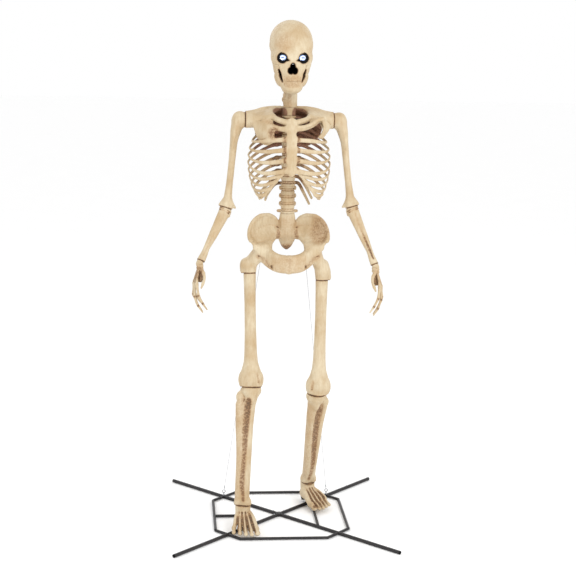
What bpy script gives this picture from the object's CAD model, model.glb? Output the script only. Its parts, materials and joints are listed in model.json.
"""Looks for the giant garden skeleton: sculpted bones, lit eyes, steel base, camera, light and floor.

Every bone is modelled as a signed distance on a grid, in metres in the row frame, and then
turned into a mesh of quads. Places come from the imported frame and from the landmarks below.
"""
import json
import math

import bpy
import numpy as np
from mathutils import Matrix, Vector


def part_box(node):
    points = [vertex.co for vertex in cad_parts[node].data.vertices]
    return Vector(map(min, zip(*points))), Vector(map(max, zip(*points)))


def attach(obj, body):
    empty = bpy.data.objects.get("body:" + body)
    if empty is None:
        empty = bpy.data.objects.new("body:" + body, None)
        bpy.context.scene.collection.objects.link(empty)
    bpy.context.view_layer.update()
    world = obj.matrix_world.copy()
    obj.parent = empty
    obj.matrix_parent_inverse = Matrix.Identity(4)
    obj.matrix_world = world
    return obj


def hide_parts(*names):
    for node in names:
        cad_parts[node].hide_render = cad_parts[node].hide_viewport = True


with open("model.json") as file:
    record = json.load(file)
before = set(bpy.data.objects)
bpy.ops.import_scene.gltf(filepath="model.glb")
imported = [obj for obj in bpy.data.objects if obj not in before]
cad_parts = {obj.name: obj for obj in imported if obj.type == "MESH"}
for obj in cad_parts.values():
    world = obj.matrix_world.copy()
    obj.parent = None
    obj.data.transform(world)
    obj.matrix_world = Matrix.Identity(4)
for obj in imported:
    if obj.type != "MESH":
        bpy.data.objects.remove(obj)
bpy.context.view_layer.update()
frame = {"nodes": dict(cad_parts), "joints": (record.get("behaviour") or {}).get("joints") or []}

COARSE = 1.0
FAR = 1.0                          # the distance stored where there is nothing near
HALF_GAP = 0.0002                  # half of the hairline seam between two bones
RING_DEPTH = 0.0018                # how far the brown line of a seam runs onto a bone
DEEP_RING = 0.0020                 # the same at the tops of the feet and at the shoulders


# ---- Small vector helpers ----
def mm(*values):
    """A point or a list of sizes, given in millimetres."""
    return np.array(values, float) / 1000


def unit(v):
    v = np.asarray(v, float)
    return v / np.linalg.norm(v)


def mix(a, b, t):
    return np.asarray(a, float) + (np.asarray(b, float) - np.asarray(a, float)) * t


def smooth(t):
    t = np.clip(t, 0, 1)
    return t * t * (3 - 2 * t)


def curve(points, steps):
    """A smooth line through the points, with that many steps between each pair."""
    p = np.array(points, float)
    p = np.vstack([2 * p[0] - p[1], p, 2 * p[-1] - p[-2]])
    out = []
    for i in range(1, len(p) - 2):
        for t in np.arange(steps) / steps:
            out.append(0.5 * (2 * p[i] + (p[i + 1] - p[i - 1]) * t
                              + (2 * p[i - 1] - 5 * p[i] + 4 * p[i + 1] - p[i + 2]) * t ** 2
                              + (3 * p[i] - p[i - 1] - 3 * p[i + 1] + p[i + 2]) * t ** 3))
    out.append(p[-2])
    return np.array(out)


class Axes:
    """A bone's own frame, in millimetres: u outwards, v to the front and w along the bone from a to b."""

    def __init__(self, a, b, out, front=(0, -1, 0)):
        self.a, self.b, self.out = np.array(a, float), np.array(b, float), out
        self.length = np.linalg.norm(self.b - self.a) * 1000
        self.w = unit(self.b - self.a)
        self.u = unit(np.cross(self.w, front))
        self.v = np.cross(self.u, self.w)

    def at(self, u, v, w):
        return self.a + (self.u * (self.out * u) + self.v * v + self.w * w) / 1000

    def line(self, *places):
        return [self.at(*place) for place in places]

    def egg(self, place, radii):
        """An egg whose radii run along the frame."""
        return egg(self.at(*place), mm(*radii), (self.u, self.v, self.w))

    def room(self, pad, cell):
        """Clay with room for the whole bone."""
        return Clay(np.minimum(self.a, self.b) - pad, np.maximum(self.a, self.b) + pad, cell)


# ---- Shapes: a distance function and the box that holds it ----
def ball(c, r):
    c = np.array(c, float)

    def distance(x, y, z):
        return np.sqrt((x - c[0]) ** 2 + (y - c[1]) ** 2 + (z - c[2]) ** 2) - r
    return distance, c - r, c + r


def egg(c, radii, turn=None):
    """An ellipsoid with those half sizes, along the rows of turn if it is given."""
    c, radii = np.array(c, float), np.array(radii, float)
    turn = np.eye(3) if turn is None else np.array(turn)
    reach = np.sqrt((turn.T ** 2) @ (radii ** 2))

    def distance(x, y, z):
        d = (x - c[0], y - c[1], z - c[2])
        q = [sum(turn[k][j] * d[j] for j in range(3)) / radii[k] for k in range(3)]
        near = np.sqrt(q[0] ** 2 + q[1] ** 2 + q[2] ** 2)
        slope = np.sqrt(sum((q[k] / radii[k]) ** 2 for k in range(3)))
        return near * (near - 1) / np.maximum(slope, 1e-6)
    return distance, c - reach, c + reach


def rod(a, b, ra, rb=None, flat=None, thin=1.0):
    """A round bar from a to b; along flat, its thickness is thin times its width."""
    a, b = np.array(a, float), np.array(b, float)
    rb = ra if rb is None else rb
    n = None if flat is None else unit(flat)
    stretch = 1 / thin - 1

    def distance(x, y, z):
        px, py, pz = x - a[0], y - a[1], z - a[2]
        d = b - a
        if n is not None:
            lift = (px * n[0] + py * n[1] + pz * n[2]) * stretch
            px, py, pz = px + lift * n[0], py + lift * n[1], pz + lift * n[2]
            d = d + n * (d @ n) * stretch
        h = np.clip((px * d[0] + py * d[1] + pz * d[2]) / max(d @ d, 1e-12), 0, 1)
        gap = np.sqrt((px - d[0] * h) ** 2 + (py - d[1] * h) ** 2 + (pz - d[2] * h) ** 2)
        return (gap - (ra + (rb - ra) * h)) * thin
    r = max(ra, rb)
    return distance, np.minimum(a, b) - r, np.maximum(a, b) + r


def slab(point, n):
    """All that lies beyond a plane, on the side that its normal points to; only for paint."""
    def distance(x, y, z):
        return -((x - point[0]) * n[0] + (y - point[1]) * n[1] + (z - point[2]) * n[2])
    return distance, point, point


def block(low, high):
    """A plain box, for cutting and for paint."""
    low, high = np.array(low, float), np.array(high, float)
    c, half = (low + high) / 2, (high - low) / 2

    def distance(x, y, z):
        gaps = [np.abs(value - c[k]) - half[k] for k, value in enumerate((x, y, z))]
        outside = np.sqrt(sum(np.maximum(gap, 0) ** 2 for gap in gaps))
        return outside + np.minimum(np.maximum(np.maximum(gaps[0], gaps[1]), gaps[2]), 0)
    return distance, low, high


def both(a, b):
    """Where two shapes overlap."""
    def distance(x, y, z):
        return np.maximum(a[0](x, y, z), b[0](x, y, z))
    return distance, a[1], a[2]


def chain(points, radii, flat=None, thin=1.0):
    """Bars through all the points, with a radius for each or one for all."""
    radii = np.broadcast_to(radii, len(points))
    return [rod(points[i], points[i + 1], radii[i], radii[i + 1], flat, thin)
            for i in range(len(points) - 1)]


def bend(points, radii, steps=5, flat=None, thin=1.0):
    """A bar along a smooth line through the points."""
    line = curve(points, steps)
    radii = np.broadcast_to(np.array(radii, float), len(points))
    spread = np.interp(np.arange(len(line)) / steps, np.arange(len(points)), radii)
    return chain(line, spread, flat, thin)


# ---- Clay: the grid on which the shapes are joined ----
class Clay:
    """A block of space in which shapes are added and cut away, each blended into the rest."""

    def __init__(self, low, high, cell):
        self.cell = cell * COARSE
        self.low = np.array(low, float)
        self.size = np.ceil((np.array(high, float) - self.low) / self.cell).astype(int) + 1
        self.field = np.full(self.size, FAR, np.float32)

    def _window(self, low, high):
        """The part of the grid within a box, and its coordinates."""
        first = np.clip(np.floor((low - self.low) / self.cell).astype(int), 0, self.size)
        last = np.clip(np.ceil((high - self.low) / self.cell).astype(int) + 1, 0, self.size)
        if (last <= first).any():
            return None, None
        grid = [(self.low[k] + self.cell * np.arange(first[k], last[k])).astype(np.float32)
                for k in range(3)]
        where = tuple(slice(i, j) for i, j in zip(first, last))
        return where, np.meshgrid(*grid, indexing="ij", sparse=True)

    def _joined(self, shapes, reach):
        """The hard union of the shapes, on the part of the grid that they reach."""
        pad = reach + 2 * self.cell
        where, _ = self._window(np.min([s[1] for s in shapes], 0) - pad,
                                np.max([s[2] for s in shapes], 0) + pad)
        if where is None:
            return None, None
        made = np.full([w.stop - w.start for w in where], FAR, np.float32)
        for distance, low, high in shapes:
            part, grid = self._window(low - pad, high + pad)
            if part is None:
                continue
            inner = tuple(slice(p.start - w.start, p.stop - w.start) for p, w in zip(part, where))
            made[inner] = np.minimum(made[inner], distance(*grid))
        return where, made

    def add(self, shapes, blend=0.0):
        where, new = self._joined(shapes, blend)
        if where is not None:
            self.field[where] = _melt(self.field[where], new, blend)

    def cut(self, shapes, blend=0.0):
        where, new = self._joined(shapes, blend)
        if where is not None:
            self.field[where] = -_melt(-self.field[where], new, blend)

    def _coordinates(self, origin):
        grid = [self.low[k] + self.cell * np.arange(self.size[k]) - origin[k] for k in range(3)]
        return np.meshgrid(*grid, indexing="ij", sparse=True)

    def keep(self, point, normal, reach=100.0):
        """Cuts all beyond a plane away, within reach of the point, leaving a sharp edge."""
        n = unit(normal)
        x, y, z = self._coordinates(point)
        beyond = (x * n[0] + y * n[1] + z * n[2]).astype(np.float32)
        beyond = np.where(x ** 2 + y ** 2 + z ** 2 < reach ** 2, beyond, -FAR)
        self.field = np.maximum(self.field, beyond)

    def seam(self, point, way, gap=HALF_GAP, reach=100.0, ring=RING_DEPTH):
        """Cuts the bone off square where the next one meets it; returns the end to be painted."""
        way = unit(way)
        self.keep(point - way * gap, way, reach)
        return slab(point - way * (gap + ring), way)

    def level(self, low, high):
        """Cuts the clay off level at both heights."""
        self.keep((0, 0, high), (0, 0, 1))
        self.keep((0, 0, low), (0, 0, -1))

    def lumps(self, at, rows, turn=None):
        """Adds eggs one by one: rows of place, radii and blend, in millimetres."""
        for x, y, z, rx, ry, rz, blend in rows:
            self.add([egg(at(x, y, z), mm(rx, ry, rz), turn)], blend / 1000)

    def only(self, shape):
        """Keeps what lies within a shape and cuts all else away, leaving a sharp edge."""
        x, y, z = (g.astype(np.float32) for g in self._coordinates((0, 0, 0)))
        self.field = np.maximum(self.field, shape[0](x, y, z))

    def touch(self, point):
        """The first place where a line through the point meets the clay, coming from the front."""
        i, k = np.round((np.asarray(point) - self.low) / self.cell).astype(int)[[0, 2]]
        row = self.field[i, :, k]
        j = max(1, int(np.argmax(row < 0)))
        share = row[j - 1] / (row[j - 1] - row[j])
        return np.array([point[0], self.low[1] + self.cell * (j - 1 + share), point[2]])

    def sample(self, grid, points):
        """A grid's values at points, blended between its cells."""
        q = (points - self.low) / self.cell
        i = np.clip(np.floor(q).astype(int), 0, self.size - 2)
        t = q - i
        out = np.zeros(len(points), np.float32)
        for corner in range(8):
            o = np.array([corner & 1, corner >> 1 & 1, corner >> 2 & 1])
            weight = np.prod(np.where(o, t, 1 - t), axis=1)
            j = i + o
            out += weight * grid[j[:, 0], j[:, 1], j[:, 2]]
        return out

    def crowding(self, points, reach):
        """How much of the room within reach of each point is solid: over a half in a hollow."""
        n = max(1, int(round(reach / self.cell)))
        solid = np.clip(0.5 - self.field / self.cell, 0, 1)
        for axis in range(3):
            pad = [(n + 1, n) if k == axis else (0, 0) for k in range(3)]
            total = np.cumsum(np.pad(solid, pad, mode="edge"), axis=axis, dtype=np.float32)
            m = solid.shape[axis]
            upper = np.take(total, np.arange(2 * n + 1, 2 * n + 1 + m), axis=axis)
            lower = np.take(total, np.arange(0, m), axis=axis)
            solid = (upper - lower) / (2 * n + 1)
        return self.sample(solid, points)

    def crisp(self, points, whole, height):
        """Pulls the rim of a level cut out to the skin of the uncut form, for a sharp edge."""
        cell = np.clip(((points - self.low) / self.cell).astype(int), 0, self.size - 2)
        solid = [whole[tuple((cell + np.array([c & 1, c >> 1 & 1, c >> 2])).T)] < 0 for c in range(8)]
        level = cell[:, 2] == int((height - self.low[2]) / self.cell)
        rim = level & np.any(solid, 0) & ~np.all(solid, 0)
        p = points[rim]
        p[:, 2] = height
        steps = np.eye(3)[:2] * self.cell / 2
        for _ in range(4):
            slope = np.stack([(self.sample(whole, p + d) - self.sample(whole, p - d)) / self.cell
                              for d in steps], 1)
            steep = np.maximum((slope ** 2).sum(1), 0.1)
            p[:, :2] -= slope * (self.sample(whole, p) / steep)[:, None]
        points[rim] = p

    def surface(self):
        """One point in each cell that the surface crosses, and a quad round each crossing."""
        d, n = self.field, self.size
        inside = d < 0
        mixed = np.zeros(n - 1, bool)
        first = inside[:-1, :-1, :-1]
        corners = [(slice(i, n[0] - 1 + i), slice(j, n[1] - 1 + j), slice(k, n[2] - 1 + k))
                   for i in (0, 1) for j in (0, 1) for k in (0, 1)]
        for c in corners:
            mixed |= inside[c] != first
        cells = np.argwhere(mixed)
        number = np.full(n - 1, -1, np.int32)
        number[mixed] = np.arange(len(cells))
        total = np.zeros((len(cells), 3))
        count = np.zeros(len(cells))
        for axis in range(3):
            others = [k for k in range(3) if k != axis]
            for s in (0, 1):
                for t in (0, 1):
                    a = cells.copy()
                    a[:, others[0]] += s
                    a[:, others[1]] += t
                    b = a.copy()
                    b[:, axis] += 1
                    da, db = d[tuple(a.T)], d[tuple(b.T)]
                    cross = (da < 0) != (db < 0)
                    share = da[cross] / (da[cross] - db[cross])
                    p = a[cross].astype(float)
                    p[:, axis] += share
                    total[cross] += p
                    count[cross] += 1
        points = self.low + self.cell * total / count[:, None]
        quads = []
        for axis in range(3):
            o1, o2 = [k for k in range(3) if k != axis]
            low = [slice(None)] * 3
            high = [slice(None)] * 3
            low[axis], high[axis] = slice(0, -1), slice(1, None)
            change = inside[tuple(low)] != inside[tuple(high)]
            at = np.argwhere(change)
            ok = ((at[:, o1] > 0) & (at[:, o2] > 0)
                  & (at[:, o1] < n[o1] - 1) & (at[:, o2] < n[o2] - 1))
            at = at[ok]
            ring = []
            for s, t in ((-1, -1), (0, -1), (0, 0), (-1, 0)):
                c = at.copy()
                c[:, o1] += s
                c[:, o2] += t
                ring.append(number[tuple(c.T)])
            quad = np.stack(ring, axis=1)
            solid_low = inside[tuple(at.T)]
            flip = solid_low if axis == 1 else ~solid_low
            quad[flip] = quad[flip][:, ::-1]
            quads.append(quad)
        return points, np.vstack(quads)


def _melt(a, b, blend):
    """The lower of two distances, with a round fillet where they meet."""
    if blend <= 0:
        return np.minimum(a, b)
    h = np.clip(0.5 + 0.5 * (b - a) / blend, 0, 1)
    return b + (a - b) * h - blend * h * (1 - h)


# ---- Turning clay into a piece ----
def piece(name, points, quads):
    """A smooth mesh of quads in the scene."""
    mesh = bpy.data.meshes.new(name)
    mesh.vertices.add(len(points))
    mesh.vertices.foreach_set("co", points.astype(np.float32).ravel())
    mesh.loops.add(quads.size)
    mesh.loops.foreach_set("vertex_index", quads.astype(np.int32).ravel())
    mesh.polygons.add(len(quads))
    mesh.polygons.foreach_set("loop_start", np.arange(0, quads.size, 4, dtype=np.int32))
    mesh.polygons.foreach_set("loop_total", np.full(len(quads), 4, np.int32))
    mesh.polygons.foreach_set("use_smooth", np.ones(len(quads), bool))
    mesh.update(calc_edges=True)
    mesh.validate()
    obj = bpy.data.objects.new(name, mesh)
    bpy.context.scene.collection.objects.link(obj)
    return obj


def paint_value(paint, points):
    """How strongly each point is painted: full within a shape, fading out over a distance."""
    value = np.zeros(len(points), np.float32)
    x, y, z = points.T
    for shapes, strength, fade in paint:
        for distance, _, _ in shapes:
            value = np.maximum(value, strength * smooth(1 - distance(x, y, z) / fade))
    return value


def bone(name, body, clay, wash=(), dark=(), rust=(), shade=(), hollow=1.0, whole=None, cuts=()):
    """A finished bone: its mesh, with brown, black and red-brown paint as vertex colours.

    Wash and dark give the brown and the black; hollow is how much brown gathers in creases by
    itself. Rust and shade, red-brown and brown, only go on faces that look to the front. The rims
    of the level cuts through the whole form, at the heights in cuts, are made crisp.
    """
    points, quads = clay.surface()
    for height in cuts:
        clay.crisp(points, whole, height)
    near = clay.crowding(points, 0.011)
    wide = clay.crowding(points, 0.030)
    brown = np.clip((near - 0.54) * 5.0, 0, 1) * 0.9 + np.clip((wide - 0.60) * 2.2, 0, 1) * 0.5
    brown = np.maximum(brown * hollow, paint_value(wash, points))
    step = np.array([0, clay.cell, 0])
    rise = (clay.sample(clay.field, points + step) - clay.sample(clay.field, points - step)) / clay.cell / 2
    front = smooth(0.5 - rise * 2)
    colour = np.ones((len(points), 4), np.float32)
    colour[:, 0] = np.clip(np.maximum(brown, paint_value(shade, points) * front), 0, 1)
    colour[:, 1] = paint_value(dark, points)
    colour[:, 2] = paint_value(rust, points) * front
    obj = piece(name + "_form", points, quads)
    obj.data.materials.append(bone_plastic())
    layer = obj.data.color_attributes.new("Paint", "FLOAT_COLOR", "POINT")
    layer.data.foreach_set("color", colour.ravel())
    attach(obj, body)
    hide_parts(name)


# ---- Landmarks of the figure, as the CAD model places them ----
SIDES = ("right", "left")
OUT = (-1, 1)                      # the way out from the middle for each side
MIDDLE = 0.028                     # x of the figure's middle plane
SPINE_Y = 0.080
HIP = [mm(-245, 0, 1855), mm(282, 0, 1805)]
KNEE = [mm(-231, -125, 1040), mm(266, -70, 973)]
ANKLE = [mm(-284, -222, 172), mm(242, 285, 183)]
TOE_TURN = [math.radians(2), math.radians(22)]
SOLE_Z = 0.0258
JOINTS = {j["name"]: np.array(j["pos_m"], float) for j in frame["joints"]}
SHOULDER = [JOINTS["shoulder_" + side] for side in SIDES]
ELBOW = [JOINTS["elbow_" + side] for side in SIDES]
WRIST = [JOINTS["wrist_" + side] for side in SIDES]
FINGERTIP = [mm(-592, -225, 1610), mm(588, -225, 1604)]
SHOULDER_GAP = 0.0004


def side_at(side, x, y, z):
    """A point x millimetres out from the middle plane on that side, y back and z up."""
    return np.array([MIDDLE + OUT[side] * x / 1000, y / 1000, z / 1000])


def marks(side, *places):
    """Points on that side, each given as for side_at."""
    return [side_at(side, *place) for place in places]


def shin_way(side):
    return unit(KNEE[side] - ANKLE[side])


def thigh_way(side):
    return unit(HIP[side] - KNEE[side])


def knee_plane(side):
    return unit(shin_way(side) + thigh_way(side))


# ---- Legs ----
def thigh(side):
    """Shaft, the two round condyles and the kneecap, cut square at the hip seam."""
    a = Axes(KNEE[side], HIP[side], OUT[side])
    n = a.length
    clay = a.room(0.13, 0.004)
    shaft = [a.at(0, 6 * math.sin(math.pi * h / n), h) for h in (-50, 80, 170, 260, 420, 600, 740, n + 20)]
    clay.add(bend(shaft, mm(60, 60, 53, 46, 42, 41, 43, 46)))
    clay.add(bend([a.at(-4, -30, h) for h in (200, 400, 600, n)], mm(14, 15, 15, 14)), 0.016)
    for u in (46, -46):
        clay.add([a.egg((u, -6, 50), (46, 66, 74))], 0.020)
    clay.add([a.egg((4, 34, 62), (52, 46, 60))], 0.010)
    clay.add([a.egg((0, 10, 125), (58, 48, 50))], 0.030)
    clay.cut([a.egg((0, -85, 20), (20, 34, 60))], 0.020)
    crease = bend(a.line((-52, 42, 22), (-52, 60, 50), (-46.8, 60, 100)), 0.003)
    clay.cut(crease, 0.008)
    ends = [clay.seam(KNEE[side], -knee_plane(side)), clay.seam(HIP[side], a.w)]
    bone("thigh_" + SIDES[side], "frame", clay, wash=[(ends, 0.95, 0.006), (crease, 0.4, 0.012)])


# For each shin: places across it and radii of its inner bar and outer bar, and places of the hollow
# between them, all in millimetres, at these heights above the ankle (the last one is the knee).
SHIN_HEIGHTS = (0, 150, 370, 580, 740, 870)
SHIN_INNER = (((-4, 38), (-6, 34), (-5, 32), (-3, 32), (-2, 40), (-8, 62)),
              ((-12, 38), (-13, 37), (-19, 38), (-24, 40), (-22, 46), (-10, 64)))
SHIN_OUTER = (((36, 27), (40, 27), (46, 28), (63, 31), (74, 30)),
              ((24, 27), (26, 26), (33, 27), (39, 27), (52, 28)))
SHIN_HOLLOW = (((22, 16), (24, 12), (22, 11), (24, 17), (20, 19), (10, 12)),
               ((20, 8), (24, 11), (18, 15), (14, 17), (27, 17), (34, 11)))


def shin(side):
    """Shin bone and calf bone moulded as one, with a long hollow down the front between them."""
    a = Axes(ANKLE[side], KNEE[side], OUT[side])
    n = a.length
    clay = a.room(0.13, 0.004)

    def line(table, forward):
        return [a.at(x, forward, h) for (x, _), h in zip(table, SHIN_HEIGHTS)]

    inner, outer, dip = SHIN_INNER[side], SHIN_OUTER[side], SHIN_HOLLOW[side]
    middle = [((x + y) / 2, 38) for (x, _), (y, _) in zip(inner, outer)]
    for table, forward, blend in ((inner, 4, 0), (outer, 0, 0.010), (middle, -16, 0.020)):
        clay.add(bend(line(table, forward), mm(*[r for _, r in table])), blend)
    clay.lumps(a.at, ((-10 * side, 0, n - 30, 75, 64, 46, 20),
                      (-6, 46, n - 85, 20, 20, 40, 18),
                      ((74, 56)[side], 4, n - 80, 30, 28, 44, 14),
                      (-34, 4, 16, 26, 34, 40, 16),
                      (40, 0, 10, 24, 30, 40, 14)), (a.u, a.v, a.w))
    path = [a.at(6, 50, 45)] + line(dip, 46)[1:5] + [a.at(dip[5][0], 50, n - 95)]
    hollow = bend(path, mm(7, *[r for _, r in dip[1:]]))
    clay.cut(hollow, 0.012)
    back = bend([a.at(16, -58, h) for h in (100, 350, 660)], mm(8, 13, 10))
    clay.cut(back, 0.016)
    ends = [clay.seam(KNEE[side], knee_plane(side)), clay.seam(ANKLE[side], -a.w)]
    tint = [rod(a.at(-60 * a.out, 20, 80), a.at(-60 * a.out, 20, n - 120), 0.034)]
    bone("shin_" + SIDES[side], "frame", clay,
         wash=[(ends, 0.95, 0.006), (hollow, 0.80, 0.020), (back, 0.5, 0.014), (tint, 0.20, 0.030)])


TOES = ((262, 21), (280, 15.5), (274, 15), (258, 14), (236, 14))   # reach and thickness, big toe first


def foot(side):
    """Ankle cuff, heel bone, arch and five rays with their toes, flat on the base's plate."""
    x0, y0, top = ANKLE[side]
    turn = TOE_TURN[side]
    a = Axes((x0, y0, SOLE_Z), (x0, y0, 1), OUT[side], (math.sin(turn), -math.cos(turn), 0))
    way = shin_way(side)
    cuff = ANKLE[side] - way * HALF_GAP
    clay = Clay((x0 - 0.20, y0 - 0.31, SOLE_Z - 0.01), (x0 + 0.20, y0 + 0.13, top + 0.03), 0.0032)
    clay.add(bend([cuff + way * 0.02, cuff - way * 0.03, a.at(0, 0, 75)], mm(57, 55, 54)))
    clay.add([a.egg((0, -45, 40), (36, 52, 42)), a.egg((0, 35, 62), (52, 62, 44))], 0.022)
    clay.add([a.egg((0, 15, 30), (44, 90, 34))], 0.02)
    grooves = []
    splay = (41.0, 34.5)[side]
    for ray, (reach, thick) in enumerate(TOES):
        x = ray - 2
        line = a.line((21 * x, 20, 85), (29 * x, 85, 74), (35 * x, 150, 50),
                      (splay * 0.96 * x, reach - 75, 30), (splay * 0.98 * x, reach - 62, 33),
                      (splay * x, reach - 35, 24), (splay * 1.02 * x, reach - 14, 19))
        clay.add(bend(line, mm(1.15, 1.1, 1.05, 1.0, 0.95, 0.85, 0.85) * thick, 4), 0.006)
        clay.add([a.egg((splay * 0.96 * x, reach - 78, 28), (1.15 * thick, 1.5 * thick, 1.15 * thick)),
                  a.egg((splay * 1.02 * x, reach - 18, 18), (0.95 * thick, 1.2 * thick, 0.8 * thick))], 0.006)
        if ray < 4:
            g = x + 0.5
            line = a.line((23 * g, 55, 108), (30 * g, 100, 86), (36 * g, 165, 58),
                          (splay * 0.97 * g, reach - 55, 40), (splay * g, reach, 34))
            grooves += bend(line, mm(3, 6, 8, 8, 7), 4)
    clay.cut(grooves, 0.006)
    ends = [clay.seam(ANKLE[side], way, ring=DEEP_RING)]
    clay.keep((0, 0, SOLE_Z), (0, 0, -1))
    bone("foot_" + SIDES[side], "frame", clay, wash=[(ends, 0.95, 0.006), (grooves, 0.9, 0.009)])


# ---- Arms ----
def shoulder_ball(side):
    return SHOULDER[side] + mm(OUT[side] * 46, 0, -4)


def elbow_plane(side):
    """The direction that the elbow turns about, down the arm."""
    return unit(unit(ELBOW[side] - shoulder_ball(side)) + unit(WRIST[side] - ELBOW[side]))


def upper_arm(side):
    """Round head on the shoulder seam, thin shaft, flared elbow with its inner knob."""
    a = Axes(ELBOW[side], shoulder_ball(side), OUT[side])
    out, joint, n = OUT[side], SHOULDER[side], a.length
    clay = a.room(0.10, 0.0034)
    clay.add([rod(joint - mm(out * 10, 0, 0), joint + mm(out * 26, 0, 0), 0.054, 0.056)])
    clay.add([egg(joint + mm(out * 44, 0, 2), mm(50, 52, 56))], 0.012)
    shaft = a.line((2, 0, n - 20), (10, 0, n - 80), (12, 0, n - 160), (6, 0, 340), (0, 0, 180),
                   (-2, 0, 100), (-6, 0, 30), (-6, 0, -40))
    clay.add(bend(shaft, mm(46, 38, 27, 24, 24, 28, 36, 38)), 0.018)
    clay.add(bend([a.at(18, 22, n - h) for h in (20, 100, 200)], mm(20, 13, 8)), 0.014)
    clay.add([a.egg((0, 0, 16), (46, 34, 34))], 0.016)
    clay.add([rod(a.at(-20, 0, 50), a.at(-64, -4, 10), 0.018, 0.008)], 0.016)
    clay.add([rod(a.at(20, 0, 50), a.at(44, 0, 18), 0.018, 0.012)], 0.014)
    clay.cut([a.egg((-4, 46, 40), (20, 16, 24)), a.egg((0, -46, 40), (20, 18, 26))], 0.012)
    groove = bend(a.line((4, 54, n - 10), (4, 45, n - 80), (4, 33, n - 150)), mm(2, 4, 2))
    clay.cut(groove, 0.008)
    ends = [clay.seam(joint, (-out, 0, 0), SHOULDER_GAP, ring=DEEP_RING),
            clay.seam(ELBOW[side], elbow_plane(side))]
    name = "upper_arm_" + SIDES[side]
    bone(name, name, clay, wash=[(ends, 0.95, 0.005), (groove, 0.12, 0.012)], hollow=0.5)


def forearm(side):
    """The two forearm bones moulded side by side, with the elbow's cuff and a flared wrist."""
    a = Axes(WRIST[side], ELBOW[side], OUT[side])
    n = a.length
    clay = a.room(0.08, 0.0032)
    thumb_side = a.line((-6, 4, -10), (-4, 5, 50), (8, 4, 160), (15, 0, 280), (16, 0, n - 30))
    elbow_side = a.line((10, -6, 0), (4, -6, 60), (-10, -4, 160), (-18, 0, 280), (-20, 0, n - 30))
    clay.add(bend(thumb_side, mm(25, 23, 19, 18, 24)))
    clay.add(bend(elbow_side, mm(17, 16, 17, 19, 27)), 0.006)
    clay.add(bend([a.at(0, -4, h) for h in (0, 120, 260, n - 40)], mm(20, 15, 17, 26)), 0.014)
    clay.add([a.egg((0, 0, n - 12), (44, 36, 34))], 0.016)
    clay.add([rod(a.at(-34, -6, n - 12), a.at(-46, -6, n - 45), 0.012, 0.008)], 0.010)
    depth = (0.5, 1.0)[side]
    groove = bend(a.line((4, 33, n - 55), (0, 29, 300), (-1, 27, 200), (3, 25, 110), (4, 26, 40)),
                  mm(4, 6, 7, 5, 3) * depth)
    clay.cut(groove, 0.007)
    folds = []
    for down, r in ((22, 41), (34, 38)):
        fold = chain([a.at(r * x, r * y, n - down) for x, y in circle()], 0.003)
        clay.cut(fold, 0.004)
        folds += fold
    ends = [clay.seam(ELBOW[side], -elbow_plane(side)), clay.seam(WRIST[side], -a.w)]
    name = "forearm_" + SIDES[side]
    bone(name, name, clay, hollow=depth,
         wash=[(ends, 0.95, 0.005), (groove, 0.8 * depth ** 2, 0.008), (folds, 0.5, 0.006)])


def circle():
    """Points round a circle of radius 1, the first one repeated at the end."""
    return [(math.cos(t), math.sin(t)) for t in np.linspace(0, 2 * math.pi, 25)]


# ---- Hands ----
# For each finger from the first to the little one: how far it lies in front of the palm's middle,
# then knuckle, middle joint, end joint and tip as (towards the thigh, down), all in millimetres.
FINGERS = (
    (44, ((-28, 156), (-16, 232), (14, 286), (46, 330))),
    (16, ((-40, 162), (-42, 243), (-18, 306), (16, 354))),
    (-14, ((-46, 156), (-52, 232), (-24, 300), (14, 350))),
    (-42, ((-42, 146), (-46, 208), (-26, 256), (2, 296))),
)
FINGER_SPREAD = (1, 1.06, 1.05, 1.0)
FINGER_RADII = ((12, 8.6, 10.5), (10.5, 7.4, 9.2), (9, 6.4, 5))


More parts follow.
